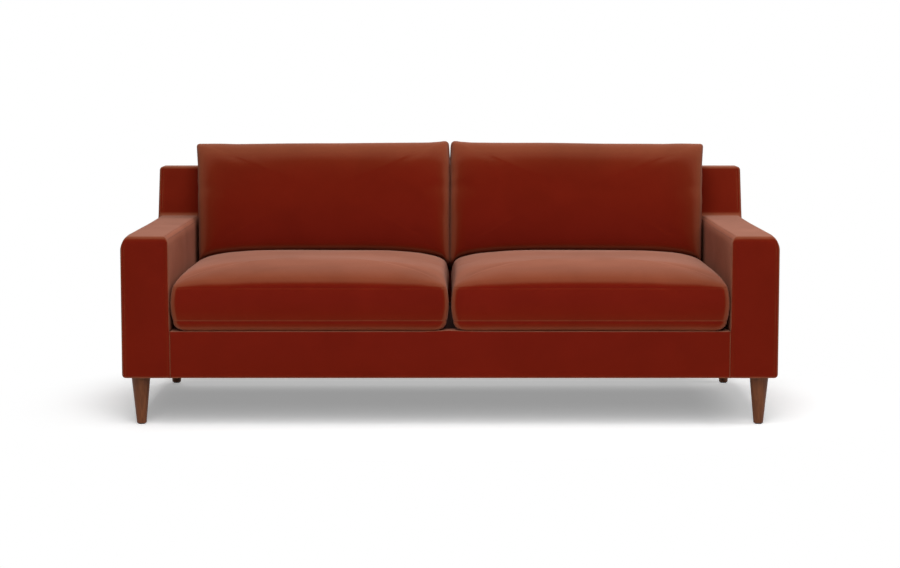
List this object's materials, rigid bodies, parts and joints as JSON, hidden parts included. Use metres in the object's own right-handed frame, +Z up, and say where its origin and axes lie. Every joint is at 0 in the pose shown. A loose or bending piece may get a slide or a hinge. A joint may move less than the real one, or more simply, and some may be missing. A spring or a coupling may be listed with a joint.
{
  "type": "sofa",
  "caption": "Velvet sofa with square track arms that sweep up into a raked back, loose seat and back cushions, and round tapered wooden legs.",
  "frame": {"origin": "on the floor, under the middle of the sofa's overall width and depth", "axes": "+X to the right as seen from the front, +Y from the front to the back, +Z up"},
  "size_m": [2.134, 1.0001, 0.8844],
  "materials": {
    "velvet": "matte",
    "walnut": "satin",
    "plywood": "matte",
    "hardwood": "matte",
    "steel": "satin",
    "foam": "matte",
    "fibre": "matte",
    "decking": "matte",
    "lining": "matte",
    "webbing": "matte",
    "nylon": "matte"
  },
  "bodies": {
    "root": {"arm_cover_left": "velvet", "arm_cover_right": "velvet", "arm_front_post_left": "hardwood", "arm_front_post_right": "hardwood", "arm_inner_panel_left": "plywood", "arm_inner_panel_right": "plywood", "arm_outer_panel_left": "plywood", "arm_outer_panel_right": "plywood", "arm_pad_left": "foam", "arm_pad_right": "foam", "arm_top_board_left": "plywood", "arm_top_board_right": "plywood", "back_centre_post": "hardwood", "back_lower_rail": "hardwood", "back_rail": "hardwood", "back_top_rail": "hardwood", "back_webbing_lower": "webbing", "back_webbing_upper": "webbing", "centre_stretcher": "hardwood", "deck_cover": "decking", "deck_pad": "fibre", "dust_cover": "lining", "front_rail": "hardwood", "front_rail_cover": "velvet", "inside_back_cover": "velvet", "inside_back_pad": "foam", "leg_block_front_left": "hardwood", "leg_block_front_right": "hardwood", "leg_block_rear_left": "hardwood", "leg_block_rear_right": "hardwood", "leg_front_left": "walnut", "leg_front_right": "walnut", "leg_rear_left": "walnut", "leg_rear_right": "walnut", "leg_glide_front_left": "nylon", "leg_glide_front_right": "nylon", "leg_glide_rear_left": "nylon", "leg_glide_rear_right": "nylon", "leg_plate_front_left": "steel", "leg_plate_front_right": "steel", "leg_plate_rear_left": "steel", "leg_plate_rear_right": "steel", "outside_back_cover": "velvet", "seat_spring_1": "steel", "seat_spring_2": "steel", "seat_spring_3": "steel", "seat_spring_4": "steel", "seat_spring_5": "steel", "seat_spring_6": "steel", "seat_spring_7": "steel", "seat_spring_8": "steel", "spring_tie_wire": "steel"},
    "seat_cushion_left": {"seat_cushion_cover_left": "velvet", "seat_cushion_core_left": "foam"},
    "seat_cushion_right": {"seat_cushion_cover_right": "velvet", "seat_cushion_core_right": "foam"},
    "back_cushion_left": {"back_cushion_cover_left": "velvet", "back_cushion_fill_left": "fibre"},
    "back_cushion_right": {"back_cushion_cover_right": "velvet", "back_cushion_fill_right": "fibre"}
  },
  "joints": [
    {"name": "seat_cushion_left_pull", "type": "slide", "parent": "root", "child": "seat_cushion_left", "axis": [0, -1, 0], "range_m": [0, 0.8]},
    {"name": "seat_cushion_right_pull", "type": "slide", "parent": "root", "child": "seat_cushion_right", "axis": [0, -1, 0], "range_m": [0, 0.8]},
    {"name": "back_cushion_left_lift", "type": "slide", "parent": "root", "child": "back_cushion_left", "axis": [0, 0, 1], "range_m": [0, 0.42]},
    {"name": "back_cushion_right_lift", "type": "slide", "parent": "root", "child": "back_cushion_right", "axis": [0, 0, 1], "range_m": [0, 0.42]}
  ]
}
